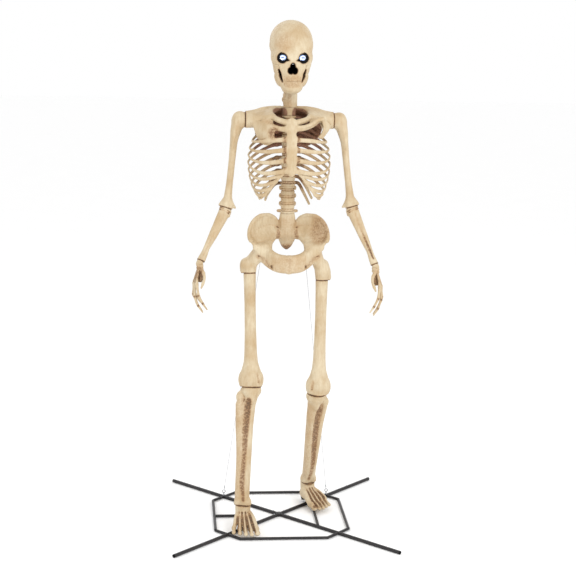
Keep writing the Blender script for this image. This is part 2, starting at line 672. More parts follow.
def hand(side):
    """Wrist bones, five hand bones and the jointed fingers, curled in a little towards the thigh."""
    out, w = OUT[side], WRIST[side]
    forward = unit(FINGERTIP[side] - w)[1]
    way = unit(w - ELBOW[side])

    def at(towards, front, down):
        return w + mm(-out * towards, forward * down - front, -down)

    clay = Clay(w + mm(-95, -185, -395), w + mm(95, 75, 20), 0.0024)
    clay.add([rod(w - way * 0.01, w + way * 0.022, 0.025, 0.024)])
    clay.add([egg(at(towards, front, down), mm(14, 11, 12)) for towards in (-16, 6) for down in (32, 50)
              for front in (-20, -4, 12, 26)], 0.005)
    dark = []
    for front, joints in FINGERS:
        root = at(-14, front * 0.42, 56)
        line = [at(t, front * s, d) for (t, d), s in zip(joints, FINGER_SPREAD)]
        clay.add(bend([root, mix(root, line[0], 0.5) + mm(out * 3, 0, 0), line[0]], mm(11, 9, 12)), 0.003)
        clay.add([ball(line[0], 0.0135)], 0.004)
        for k, radii in enumerate(FINGER_RADII):
            p, q = line[k], line[k + 1]
            clay.add(bend([mix(p, q, t) for t in (0.07, 0.5, 0.94)], mm(*radii)), 0.002)
            if k:
                dark += [ball(p + mm(0, -8, 0), 0.0035), ball(p, 0.007)]
    thumb = [at(-4, 26, 40), at(20, 44, 78), at(26, 54, 112), at(14, 60, 150), at(4, 62, 176)]
    for first, last, radii in ((0, 2, (13, 12)), (1, 4, (12, 9, 11)), (3, 5, (10, 6))):
        clay.add(bend(thumb[first:last], mm(*radii)), 0.003)
    palm = [at(-6, 0, 60), at(-16, 2, 100), at(-22, 2, 140)]
    flesh = sheet(palm, [at(14, 40, 60), at(18, 48, 96), at(2, 44, 134)], 0.007, 12)
    clay.add(flesh, 0.004)
    slits = []
    for (f0, j0), (f1, j1) in zip(FINGERS, FINGERS[1:]):
        foot_of_slit = at((j0[0][0] + j1[0][0]) / 2, (f0 + f1) * 0.5, 138)
        slits += chain([at(-12, (f0 + f1) * 0.22, 66), foot_of_slit], 0.004)
    clay.cut(slits, 0.003)
    ends = [clay.seam(w, -way)]
    hollow_of_hand = [egg(at(-14, 0, 84), mm(24, 60, 44))]
    name = "hand_" + SIDES[side]
    bone(name, name, clay,
         wash=[(ends, 0.95, 0.005), (slits, 0.95, 0.012), (dark, 0.7, 0.008), (flesh, 0.85, 0.003),
               (hollow_of_hand, (0.5, 0.3)[side], 0.03)])


# ---- Spine ----
def on_spine(z):
    return np.array([MIDDLE, SPINE_Y, z])


def vertebra(clay, z, pitch, r, knob):
    """One vertebra: a waisted body between two rims, and a spine to the back."""
    c = on_spine(z)
    up = np.array([0, 0, pitch])
    rims = [rod(c + s * 0.30 * up, c + s * 0.36 * up, r) for s in (-1, 1)]
    clay.add(rims + [rod(c - 0.3 * up, c + 0.3 * up, r * 0.90)], 0.004)
    clay.add([rod(c + (0, r * 0.7, 0), c + (0, r + knob, -pitch * 0.35), 0.012, 0.008)], 0.008)


def bands(low, high, count, r):
    """The discs between the vertebrae of a stack, for brown paint."""
    return [rod(on_spine(z - 0.002), on_spine(z + 0.002), r) for z in np.linspace(low, high, count + 1)]


def column(clay, low, high, count, r, knob):
    """A stack of vertebrae, each with two fine grooves round it."""
    pitch = (high - low) / count
    clay.add([rod(on_spine(low), on_spine(high), r * 0.84)])
    for k in range(count):
        vertebra(clay, low + pitch * (k + 0.5), pitch, r, knob)
        for part in (1 / 3, 2 / 3):
            c = on_spine(low + pitch * (k + part))
            clay.cut(chain([c + (r * 0.93 * x, r * 0.93 * y, 0) for x, y in circle()], 0.0026), 0.004)


def lumbar():
    """Four low vertebrae with their side wings, down to the top of the sacrum."""
    low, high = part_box("lumbar_spine")[0][2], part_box("lumbar_spine")[1][2]
    clay = Clay(on_spine(low) - (0.12, 0.08, 0.01), on_spine(high) + (0.12, 0.14, 0.01), 0.0034)
    column(clay, low, high, 4, 0.050, 0.05)
    wings = []
    for s in (-1, 1):
        for up in (0.067, 0.125, 0.182):
            wings.append(egg(on_spine(low + up) + (s * 0.053, 0.012, 0), mm(10, 14, 17)))
        base = on_spine(low + 0.013)
        wings += [rod(base + (s * 0.03, 0.006, 0), base + (s * 0.067, 0.014, 0), 0.014, 0.011)]
    clay.add(wings, 0.005)
    clay.level(low + HALF_GAP, high - HALF_GAP)
    bone("lumbar_spine", "frame", clay, hollow=0.35,
         wash=[(bands(low, high, 12, 0.0462), 0.42, 0.0035), (bands(low, high, 4, 0.0455), 0.4, 0.004),
               (wings, 0.28, 0.006)])


def neck():
    """Seven neck vertebrae with a plain front; what the head hides of that front is black."""
    low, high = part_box("neck")[0][2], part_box("neck")[1][2]
    clay = Clay(on_spine(low) - (0.10, 0.08, 0.01), on_spine(high) + (0.10, 0.12, 0.01), 0.0034)
    column(clay, low, high, 7, 0.047, 0.028)
    front = [on_spine(mix(low, high, t)) + (0.009, -y, 0) for t, y in ((0, 0.004), (0.5, 0.006), (1, 0.004))]
    clay.add(bend(front, 0.046), 0.004)
    knobs = [egg(on_spine(mix(low, high, part)) + (-0.046, 0.01, 0), mm(8, 14, 16)) for part in (0.18, 0.42)]
    clay.add(knobs, 0.006)
    clay.level(low + HALF_GAP, high - HALF_GAP)
    streak = chain([(MIDDLE - 0.004, 0.03, low), (MIDDLE - 0.006, 0.03, high)], 0.006)
    hidden = [block((MIDDLE - 0.04, 0.0, 3.27), (MIDDLE + 0.04, 0.048, 3.42))]
    bone("neck", "frame", clay, dark=[(hidden, 1.0, 0.008)],
         wash=[(bands(low, high, 7, 0.045), 0.3, 0.006), (knobs, 0.4, 0.008), (streak, 0.3, 0.022)])


# ---- Rib cage ----
RIB_WIDTH = (236, 266, 284, 292, 294, 290, 282, 268, 250, 200, 170)
RIB_DIP = (0, 4, 16, 30, 40, 44, 40, 34, 20, 0, 0)
RIB_SIDE_Y = 20
FRONT_RIBS = 9
TRUE_RIBS = 5                      # how many reach the breastbone by themselves
CHEST = (2.4862, 2.9878)           # foot and top of the chest part of the spine


def rib_point(side, i, a):
    """A point on rib i: angle 90 at the spine, 0 at the side and -90 at the breastbone."""
    width = RIB_WIDTH[i]
    spine_z, side_z = 2970 - 47 * i, 2858 - 50 * i + max(0, 14 * (i - 7))
    front_x, front_y, front_z = 34, -160 - 9 * i, 2906 - 71 * i
    if i >= TRUE_RIBS:
        front_x, front_y, front_z = 34 + 36 * (i - 4), -196 + 20 * (i - 4), 2588 - 48 * (i - 5)
    if i == 0:
        side_z = 2935
    t = abs(a) / 90
    if a >= 0:
        root = 30 * t
        return side_at(side, root + (width - root) * math.sin(math.pi / 2 * (1 - t)),
                       RIB_SIDE_Y + 85 * math.cos(math.pi / 2 * (1 - t)) + 46 * math.sin(math.pi * t),
                       mix(spine_z, side_z, smooth(1 - t)))
    return side_at(side, front_x + (width - front_x) * math.cos(math.pi / 2 * t),
                   RIB_SIDE_Y + (front_y - RIB_SIDE_Y) * math.sin(math.pi / 2 * t),
                   mix(side_z, front_z, smooth(t)) - RIB_DIP[i] * math.sin(math.pi * t))


def rib_line(side, i, end):
    """Rib i from the side of the chest to the front or to the spine."""
    return np.array([rib_point(side, i, a) for a in np.linspace(0, end, 14)])


def ribbon(points, radii, thin=0.55):
    """A flattened bar that stands on edge: tall as its radii, thin across."""
    return [rod(p, q, r, s, np.cross(q - p, (0, 0, 1)), thin)
            for p, q, r, s in zip(points, points[1:], radii, radii[1:])]


def sheet(line_a, line_b, r, count):
    """A skin between two lines, as many bars side by side."""
    a, b = curve(line_a, 12), curve(line_b, 12)
    return [rod(a[int(round(t * (len(a) - 1)))], b[int(round(t * (len(b) - 1)))], r)
            for t in np.linspace(0, 1, count)]


def window(depth):
    """The rounded opening between breastbone and left shoulder, cut straight back from the front."""
    line = marks(1, (62, -130, 2871), (95, -130, 2874), (132, -130, 2882), (166, -130, 2893),
                 (182, -130, 2917), (190, -130, 2941))
    radii = np.interp(np.arange(21) / 4, np.arange(6), mm(26, 31, 38, 42, 29, 11))
    way = np.array([0.10, 1.0, -0.08])
    return [rod(p - way * 0.07, p + way * depth, r) for p, r in zip(curve(line, 4), radii)]


def ribcage_front():
    """Breastbone, nine pairs of front ribs and the two rims of gristle that join the lower ones."""
    clay = Clay((MIDDLE - 0.34, -0.24, 2.36), (MIDDLE + 0.34, 0.03, 3.01), 0.004)
    bar = marks(0, (0, -158, 2944), (0, -166, 2920), (0, -176, 2880), (0, -190, 2780), (0, -200, 2690),
                (0, -204, 2620), (0, -200, 2600))
    clay.add(chain(bar, mm(42, 42, 36, 36, 36, 32, 25), (0, 1, 0), 0.34), 0.01)
    for side in (0, 1):
        for i in range(FRONT_RIBS):
            line = rib_line(side, i, -90)
            inner = 0.0175 if i < TRUE_RIBS else 0.013
            tall = np.interp(np.arange(14), (0, 4, 9, 13), (0.0096, 0.0096, mix(0.011, inner, 0.7), inner))
            clay.add(ribbon(line, tall), 0.006)
            if i < TRUE_RIBS:
                clay.add([egg(line[-1], mm(20, 14, 22))], 0.012)
        rim = [rib_point(side, i, -90) for i in range(4, FRONT_RIBS)] + marks(side, (204, -84, 2412))
        clay.add(ribbon(curve(rim, 3), np.linspace(0.015, 0.010, 3 * len(rim) - 2), 0.6), 0.006)
        tip = [rib_point(side, 8, -40)] + marks(side, (222, -72, 2430), (214, -70, 2404))
        clay.add(bend(tip, mm(11, 10, 6)), 0.006)
    web = marks(0, (126, -140, 2908), (170, -110, 2930), (220, -56, 2946), (268, -16, 2948))
    middle = marks(0, (130, -150, 2862), (172, -118, 2864), (214, -74, 2878), (248, -30, 2896))
    foot_line = marks(0, (124, -144, 2822), (164, -114, 2798), (200, -80, 2804), (226, -42, 2834))
    clay.add(sheet(web, middle, 0.009, 34) + sheet(middle, foot_line, 0.009, 34), 0.010)
    clay.cut(window(0.08), 0.004)
    lip = marks(1, (35, -170, 2921), (92, -160, 2926), (143, -142, 2945), (183, -118, 2970), (225, -92, 2979))
    clay.add(bend(lip, mm(13, 13, 13, 14, 14)), 0.006)
    edge = marks(1, (222, -88, 2970), (238, -72, 2920), (228, -72, 2878), (203, -80, 2846))
    far_edge = marks(1, (288, -16, 2926), (280, -20, 2916), (260, -36, 2884), (224, -66, 2842))
    clay.add(sheet(edge, far_edge, 0.009, 30), 0.012)
    gutters = []
    for side in (0, 1):
        arch = marks(side, (34, -160, 2906), (90, -146, 2912), (150, -106, 2934), (192, -62, 2962))
        clay.add(bend(arch, mm(15, 15, 16, 18)), 0.006)
        collar = marks(side, (100, -126, 2952), (150, -90, 2962), (190, -56, 2976))
        clay.add(sheet(arch[1:], collar, 0.009, 14)[5:], 0.010)
        gutters += chain(marks(side, (50, -176, 2868), (47, -205, 2640)), 0.004)
    clay.keep((0, 0.0198, 0), (0, 1, 0))
    recess = [ball(side_at(0, 124, -150, 2879), 0.022)]
    under = chain(marks(0, (207, -100, 2972), (160, -120, 2962), (110, -140, 2940)), 0.006)
    bone("ribcage_front", "frame", clay,
         wash=[(gutters, 0.6, 0.016), (recess, 0.6, 0.04), (under, 0.4, 0.028)])


def ribcage_rear():
    """Chest part of the spine, the rear halves of the ribs and the two short floating pairs."""
    low, high = CHEST
    clay = Clay((MIDDLE - 0.33, -0.11, 2.33), (MIDDLE + 0.33, 0.22, 3.0), 0.004)
    for side in (0, 1):
        for i in range(FRONT_RIBS):
            clay.add(ribbon(rib_line(side, i, 90), np.linspace(0.0105, 0.0125, 14), 0.6), 0.004)
            clay.add([egg(rib_point(side, i, 78), mm(20, 14, 15))], 0.008)
        wall = marks(side, (34, 148, 2980), (90, 160, 2984), (150, 150, 2980))
        wall_foot = marks(side, (34, 150, 2772), (86, 164, 2770), (150, 160, 2780))
        clay.add(sheet(wall, wall_foot, 0.008, 18), 0.010)
    clay.keep((0, 0.0202, 0), (0, -1, 0))
    column(clay, low, high, 10, 0.050, 0.045)
    for side, i, ends in ((0, 9, ((92, 150, 2530), (176, 70, 2462), (204, 10, 2424))),
                          (0, 10, ((90, 152, 2486), (150, 70, 2420), (168, 0, 2390))),
                          (1, 9, ((84, 130, 2540), (130, 96, 2480), (172, 60, 2398))),
                          (1, 10, ((80, 132, 2496), (118, 98, 2430), (154, 60, 2356)))):
        clay.add(bend([rib_point(side, i, 90)] + marks(side, *ends), mm(13, 13, 11, 9)), 0.006)
    clay.keep((0, 0, high - HALF_GAP), (0, 0, 1))
    red = [block((MIDDLE - 0.24, 0.10, 2.74), (MIDDLE + 0.24, 0.160, 3.0))]
    grey = [block((MIDDLE - 0.33, 0.10, 2.45), (MIDDLE + 0.33, 0.22, 2.74))]
    deep = [block((MIDDLE - 0.11, 0.115, 2.45), (MIDDLE + 0.11, 0.20, 3.0))]
    bone("ribcage_rear", "frame", clay, hollow=0.6, wash=[(bands(2.486, 2.988, 30, 0.046), 0.62, 0.0045)],
         shade=[(grey, 0.30, 0.02), (deep, 0.85, 0.02)], rust=[(red, 0.95, 0.012)])


# ---- Shoulders ----
def shoulder_yoke():
    """Collar ring round each opening beside the neck, roof, shoulder bosses and flat shoulder blades."""
    clay = Clay((MIDDLE - 0.33, -0.19, 2.73), (MIDDLE + 0.33, 0.215, 3.085), 0.004)
    wells, walls, ends = [], window(0.30), []
    for side in (0, 1):
        boss = SHOULDER[side] - mm(OUT[side] * 14, 0, 0)
        wide = (0, 9)[side]
        ring = marks(side, (20, -148, 2950), (52, -141, 2957), (95 + wide / 2, -114, 2969),
                     (125 + wide, -70, 2985), (139 + wide, -14, 3001), (134 + wide, 44, 3017),
                     (106 + wide, 92, 3029), (50, 118, 3034))
        clay.add(bend(ring, mm(20, 21, 20, 18, 16, 14, 13, 13), 4), 0.010)
        clay.add([rod(boss - mm(OUT[side] * 20, 0, 0), boss + mm(OUT[side] * 13, 0, 0), 0.054)], 0.016)
        top = marks(side, (128 + wide, -64, 2982), (142 + wide, -10, 2999), (136 + wide, 46, 3014),
                    (110 + wide, 90, 3026))
        far = [boss + mm(0, y, z) for y, z in ((-40, 18), (-16, 36), (14, 38), (38, 22))]
        clay.add(sheet(top, far, 0.018, 16), 0.030)
        roof = marks(side, (44, 122, 3042), (116, 108, 3040), (192, 80, 3028), (266, 54, 2996))
        clay.add(bend(roof, mm(9, 13, 18, 24)), 0.020)
        clay.add([rod(side_at(side, 150, -62, 2972), boss + mm(0, -20, -10), 0.024, 0.040),
                  rod(side_at(side, 190, -40, 2940), boss + mm(0, -10, -20), 0.020, 0.034),
                  rod(side_at(side, 206, 10, 2925), boss + mm(0, 10, -18), 0.022, 0.036)], 0.018)
        rim = marks(side, (40, 128, 3044), (100, 120, 3036), (170, 112, 3020), (262, 96, 3000))
        inner = marks(side, (44, 176, 2990), (80, 186, 2980), (160, 186, 2960), (256, 130, 2940))
        low = marks(side, (96, 192, 2800), (112, 194, 2768), (168, 188, 2784), (228, 154, 2850))
        clay.add(sheet(rim, inner, 0.010, 26) + sheet(inner, low, 0.008, 30), 0.010)
        clay.add(bend(low, 0.011), 0.006)
        clay.add(bend([inner[0], side_at(side, 70, 190, 2880), low[1]], 0.011), 0.006)
        spine = marks(side, (66, 196, 2960), (150, 202, 2984), (240, 160, 3006))
        clay.add(bend(spine, mm(9, 12, 16)), 0.012)
        clay.add([rod(side_at(side, 252, 120, 2980), boss, 0.030, 0.045)], 0.02)
        ridge = marks(side, (136, -102, 2938), (160, -88, 2932), (196, -70, 2926))
        clay.cut(bend(ridge, mm(5, 7, 5)), 0.012)
        ends.append(clay.seam(SHOULDER[side], (OUT[side], 0, 0), SHOULDER_GAP, ring=DEEP_RING))
        wells.append(egg(side_at(side, 70, 0, 3004), mm(54, 112, 60)))
        corners = marks(side, (30, 92, 2770), (236, 183, 3036))
        walls.append(block(np.min(corners, 0), np.max(corners, 0)))
    clay.add([rod(on_spine(2.985), on_spine(3.06), 0.046)], 0.006)
    neck_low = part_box("neck")[0][2]
    clay.cut([block(on_spine(neck_low - HALF_GAP) - (0.056, 0.056, 0), on_spine(3.2) + (0.056, 0.052, 0))])
    clay.cut([block((MIDDLE - 0.052, 0.02, 2.9), (MIDDLE + 0.052, SPINE_Y + 0.05, 2.9882))])
    clay.cut(window(0.12), 0.004)
    shadow = chain(marks(0, (214, -96, 2966), (165, -116, 2958), (118, -136, 2940)), 0.008)
    bone("shoulder_yoke", "frame", clay, wash=[(ends, 0.95, 0.005), (shadow, 0.4, 0.028)],
         rust=[(wells, 0.9, 0.006), (walls, 0.95, 0.006)])


# ---- Pelvis ----
def pelvis():
    """Two dished hip bones, the wedge at the foot of the spine, the front band and the hip knobs."""
    clay = Clay((MIDDLE - 0.37, -0.22, 1.79), (MIDDLE + 0.37, 0.16, 2.31), 0.004)
    gutters, folds, ends = [], [], []
    for side in (0, 1):
        rim = marks(side, (64, 94, 2196), (80, 90, 2234), (112, 76, 2262), (166, 46, 2278), (222, 12, 2260),
                    (262, -14, 2222), (283, -36, 2172), (284, -76, 2128), (274, -98, 2108))
        bowl = marks(side, (72, 96, 2170), (84, 96, 2184), (112, 88, 2192), (158, 64, 2192), (206, 32, 2180),
                     (240, -2, 2158), (258, -30, 2126), (262, -60, 2104), (258, -84, 2088))
        brim = marks(side, (76, 74, 2150), (92, 58, 2120), (118, 20, 2092), (142, -18, 2072),
                     (166, -40, 2056), (200, -56, 2050), (232, -72, 2052))
        clay.add(sheet(rim, bowl, 0.009, 40) + sheet(bowl, brim, 0.011, 40), 0.012)
        clay.add(bend(rim, mm(11, 12, 13, 15, 14, 13, 12, 13, 15), 5), 0.006)
        clay.add(bend(brim, mm(22, 20, 20, 26, 34, 34, 24), 4), 0.016)
        clay.add([egg(side_at(side, 182, -40, 2016), mm(56, 56, 50))], 0.024)
        upper = marks(side, (176, -46, 2034), (130, -92, 2006), (70, -128, 1984), (0, -140, 1978))
        lower = marks(side, (176, -44, 1962), (130, -86, 1928), (70, -124, 1906), (0, -136, 1900))
        clay.add(sheet(upper, lower, 0.026, 16), 0.014)
        upper_rim = marks(side, (140, -20, 2060), (132, -70, 2024), (84, -116, 1996), (0, -142, 1984))
        clay.add(bend(upper_rim, mm(24, 22, 20, 18)), 0.014)
        lower_rim = marks(side, (150, -20, 1992), (132, -52, 1930), (84, -96, 1906), (40, -112, 1902))
        clay.add(bend(lower_rim, mm(30, 26, 24, 22)), 0.014)
        top = HIP[side] + thigh_way(side) * 0.052
        knob = side_at(side, 196, -36, 2008)
        clay.add([rod(knob, top + mm(OUT[side] * -6, 0, 20), 0.048, 0.044)], 0.016)
        clay.add([rod(top, HIP[side], 0.052, 0.046),
                  egg(top + mm(OUT[side] * 20, 8, 2), mm(44, 46, 48))], 0.014)
        clay.add([egg(HIP[side] + mm(OUT[side] * 50, 8, 22), mm(18, 26, 30))], 0.010)
        corner = HIP[side] + mm(OUT[side] * (34, 20)[side], 8, (62, 104)[side])
        clay.add([egg(corner, mm(30, 36, 42))], 0.030)
        fold = bend(marks(side, (214, -74, 1992), (178, -96, 1958), (150, -104, 1926)), mm(6, 9, 8))
        dimple = [egg(side_at(side, 124, -116, 1918), mm(8, 15, 14))]
        for shapes in (fold, dimple):
            clay.cut(shapes, 0.014)
            folds += shapes
        gutter = marks(side, (66, 56, 2240), (60, 50, 2200), (62, 48, 2150), (68, 48, 2112))
        gutters += bend(gutter, mm(5, 6, 6, 6))
    sacrum = marks(0, (0, 82, 2300), (0, 84, 2240), (0, 90, 2170), (0, 104, 2110), (0, 114, 2062),
                   (0, 114, 2028))
    clay.add(bend(sacrum, mm(50, 59, 64, 64, 44, 18), 5, (0, 1, 0), 0.72), 0.010)
    clay.cut(gutters, 0.008)
    for side in (0, 1):
        beam = [HIP[side] + thigh_way(side) * 0.095] + marks(side, (150, 72, 2104), (0, 84, 2138))
        clay.add(chain(beam, mm(28, 26, 32)), 0.012)
    middle_line = chain(marks(0, (0, -170, 1985), (0, -168, 1900)), 0.006)
    clay.cut(middle_line, 0.010)
    for side in (0, 1):
        end = clay.seam(HIP[side], -thigh_way(side), reach=0.12)
        ends.append(both(end, ball(HIP[side], 0.09)))
    clay.keep((0, 0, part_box("lumbar_spine")[0][2] - HALF_GAP), (0, 0, 1))
    bars = []
    for z, w in ((2262, 30), (2240, 34), (2222, 36), (2204, 36), (2186, 34), (2168, 32), (2150, 28)):
        bars += chain([side_at(1, x, 41 + (2240 - z) / 6, z) for x in (-w, w)], 0.003)
    stain = [egg(side_at(1, 236, -10, 2170), mm(44, 70, 84))]
    front = [egg(side_at(1, 0, -150, 1940), mm(110, 30, 50))]
    sacrum_face = [egg(side_at(1, 0, 30, 2170), mm(54, 60, 84))]
    sacrum_tip = [ball(side_at(1, 0, 112, 2020), 0.02)]
    bone("pelvis", "frame", clay,
         wash=[(ends, 0.95, 0.006), (gutters, 0.5, 0.020), (folds, 0.35, 0.03), (bars, 0.22, 0.010),
               (stain, 0.40, 0.06), (middle_line, 0.3, 0.014), (front, 0.2, 0.05),
               (sacrum_face, 0.16, 0.04), (sacrum_tip, 0.8, 0.05)])


# ---- Head ----
MOUTH_Z = 3.238                    # the seam between skull and jaw at the teeth
JAW_TOP = 3.352                    # where the branches of the jaw end
JAW_BACK = 0.030                   # how far back the jaw reaches


def face_at(x, y, z):
    return np.array([MIDDLE + x / 1000, y / 1000, z / 1000])


def face_eggs(rows):
    """Eggs in the head: rows of place and radii, in millimetres."""
    return [egg(face_at(x, y, z), mm(*radii)) for x, y, z, *radii in rows]


def head_form():
    """Skull and jaw as one solid: long round braincase, narrow face and a small chin."""
    clay = Clay((MIDDLE - 0.175, -0.20, 3.14), (MIDDLE + 0.175, 0.225, 3.675), 0.0034)
    for blend, eggs in ((0.03, ((0, 34, 3512, 151, 166, 148), (0, 84, 3484, 150, 119, 118))),
                        (0.03, ((0, -28, 3478, 147, 130, 116),)),
                        (0.03, ((0, -30, 3400, 146, 116, 96),)),
                        (0.03, ((-60, -84, 3400, 80, 78, 62), (60, -84, 3400, 80, 78, 62))),
                        (0.03, ((0, -98, 3372, 44, 62, 66),)),
                        (0.03, ((0, -40, 3326, 128, 108, 96), (0, -38, 3270, 121, 104, 78))),
                        (0.03, ((0, -92, 3290, 62, 66, 66),)),
                        (0.03, ((0, -42, 3230, 100, 96, 54), (0, -84, 3202, 76, 74, 46))),
                        (0.03, ((0, -94, 3190, 58, 60, 36),)),
                        (0.024, ((-94, -78, 3350, 32, 34, 24), (94, -78, 3350, 32, 34, 24)))):
        clay.add(face_eggs(eggs), blend)
    clay.add([rounded(face_at(-78, 60, 3372), face_at(78, 192, 3484), 0.018)], 0.03)
    return clay


def rounded(low, high, r):
    """A box with round edges."""
    inner, _, _ = block(low + r, high - r)

    def distance(x, y, z):
        return inner(x, y, z) - r
    return distance, low, high


def head_hollow():
    """The room inside skull and jaw."""
    rooms = ((0, 34, 3512, 139, 154, 136), (0, 84, 3484, 138, 107, 106), (0, -24, 3470, 134, 120, 104),
             (0, -30, 3394, 126, 104, 80), (0, -38, 3320, 116, 86, 80), (0, -30, 3250, 102, 84, 80),
             (-66, -90, 3402, 48, 56, 44), (66, -90, 3402, 48, 56, 44))
    return face_eggs(rooms) + [rounded(face_at(-68, 60, 3382), face_at(68, 181.5, 3474), 0.012)]


def cheek_slots():
    """The narrow slanting gap in front of each side of the jaw."""
    shapes = []
    for s in (-1, 1):
        inward = unit((-0.45 * s, 0.9, 0))
        for depth in np.arange(-0.03, 0.06, 0.01):
            line = [face_at(s * 89, -100, 3314), face_at(s * 84, -110, 3280), face_at(s * 70, -122, 3234)]
            shapes += chain(line + inward * depth, mm(7, 11, 4))
    return shapes


def jaw_space(gap):
    """The space that belongs to the jaw: below the mouth and behind each cheek slot."""
    def distance(x, y, z):
        slot = 0.0712 + (z - MOUTH_Z) * 0.235 - np.abs(x - MIDDLE)
        behind = np.maximum(slot, z - JAW_TOP)
        return np.maximum(np.minimum(behind, z - MOUTH_Z), y - JAW_BACK) + gap
    return distance, face_at(-200, -210, 3100), face_at(200, 40, 3400)


def sockets():
    """Almond eye openings with their points towards the nose."""
    shapes = []
    for s in (-1, 1):
        shapes.append(egg(face_at(s * 75, -150, 3398), mm(33, 60, 33)))
        for y in (-176, -146, -116, -86):
            shapes += chain([face_at(s * 60, y, 3393), face_at(s * 26, y - 6, 3383)], mm(20, 4))
    return shapes


def tooth_lines(clay):
    """Shallow upright grooves between the teeth, traced on the front of the face."""
    shapes = []
    for k in range(-5, 6):
        places = ((11 * k, 3276 - 5 * (k % 3)), (11.5 * k, 3254), (11.5 * k, 3238), (11 * k, 3220),
                  (10 * k, 3196 + abs(k)))
        shapes += chain([clay.touch(face_at(x, 0, z)) for x, z in places], mm(1.5, 2.6, 3.2, 2.6, 1.5))
    return shapes


def head_shell(*cuts):
    """The form with its teeth, those cuts, the cheek slots and the way for the neck."""
    clay = head_form()
    teeth, slots = tooth_lines(clay), cheek_slots()
    for shapes, blend in ((teeth, 0.004), *cuts, (slots, 0.004)):
        clay.cut(shapes, blend)
    clay.cut([rod(face_at(0, 80, 3100), face_at(0, 80, 3364), 0.057)])
    return clay, teeth, slots


def skull():
    """Braincase, face and upper teeth, with the openings for eyes, nose, neck and battery hatch."""
    inside, eyes = head_hollow(), sockets()
    nose = face_eggs(((-14, -160, 3312, 19, 70, 22), (14, -160, 3312, 19, 70, 22),
                      (0, -160, 3332, 17, 70, 31)))
    clay, teeth, slots = head_shell((eyes, 0.008), (nose, 0.006), (inside, 0))
    clay.cut([rod(face_at(0, 80, 3360), face_at(0, 80, 3420), 0.032)])
    whole = clay.field.copy()
    clay.cut([jaw_space(-HALF_GAP)])
    clay.cut([block(face_at(-65.5, 150, 3375.2), face_at(65.5, 230, 3476))])
    patch = [egg(face_at(-62, -120, 3500), mm(26, 40, 44))]
    sutures = []
    for k in (-1, 1):
        sutures += bend([face_at(0, 30, 3662), face_at(k * 70, 20, 3632), face_at(k * 128, -6, 3560),
                         face_at(k * 146, -30, 3480)], 0.0025)
    throat = [rod(face_at(0, 80, 3300), face_at(0, 80, 3430), 0.060)]
    bone("skull", "head", clay, whole=whole, cuts=(MOUTH_Z + HALF_GAP, JAW_TOP + HALF_GAP),
         wash=[(patch, 0.22, 0.06), (teeth, 0.30, 0.006), (slots, 1.0, 0.010), (nose, 0.8, 0.012),
               (sutures, 0.25, 0.008), (eyes, 0.6, 0.014)],
         dark=[(inside + throat, 1.0, 0.006), (eyes, 1.0, 0.007), (nose, 1.0, 0.008), (slots, 0.75, 0.003)])


def lower_jaw():
    """Jaw with the lower teeth, whose branches rise behind the cheek slots."""
    inside = head_hollow()
    clay, teeth, slots = head_shell((inside, 0), (face_eggs(((0, -22, 3200, 84, 86, 90),)), 0.01))
    whole = clay.field.copy()
    clay.only(jaw_space(HALF_GAP))
    bone("lower_jaw", "head", clay, wash=[(teeth, 0.30, 0.006), (slots, 1.0, 0.008)],
         dark=[(inside, 0.9, 0.003)], whole=whole, cuts=(MOUTH_Z - HALF_GAP, JAW_TOP - HALF_GAP))


def battery_door():
    """Hatch on the back of the head, flush with it, with a finger notch and a hinge roll at its foot."""
    clay = head_form()
    clay.only(block(face_at(-64, 182, 3381), face_at(64, 230, 3474)))
    clay.add([rod(face_at(-63, 186, 3380), face_at(63, 186, 3380), 0.005)], 0.002)
    clay.cut([egg(face_at(0, 196, 3462), mm(20, 7, 8))], 0.003)
    ribs = [rod(face_at(-40, 193, z), face_at(40, 193, z), 0.0025) for z in (3404, 3414, 3424)]
    clay.cut(ribs, 0.003)
    bone("battery_door", "battery_door", clay, wash=[(ribs, 0.5, 0.006)])


# ---- Materials ----
def linear(r, g, b):
    """A colour given as it looks on a screen, from 0 to 255."""
    return tuple(((c / 255 + 0.055) / 1.055) ** 2.4 if c > 10 else c / 255 / 12.92 for c in (r, g, b)) + (1,)


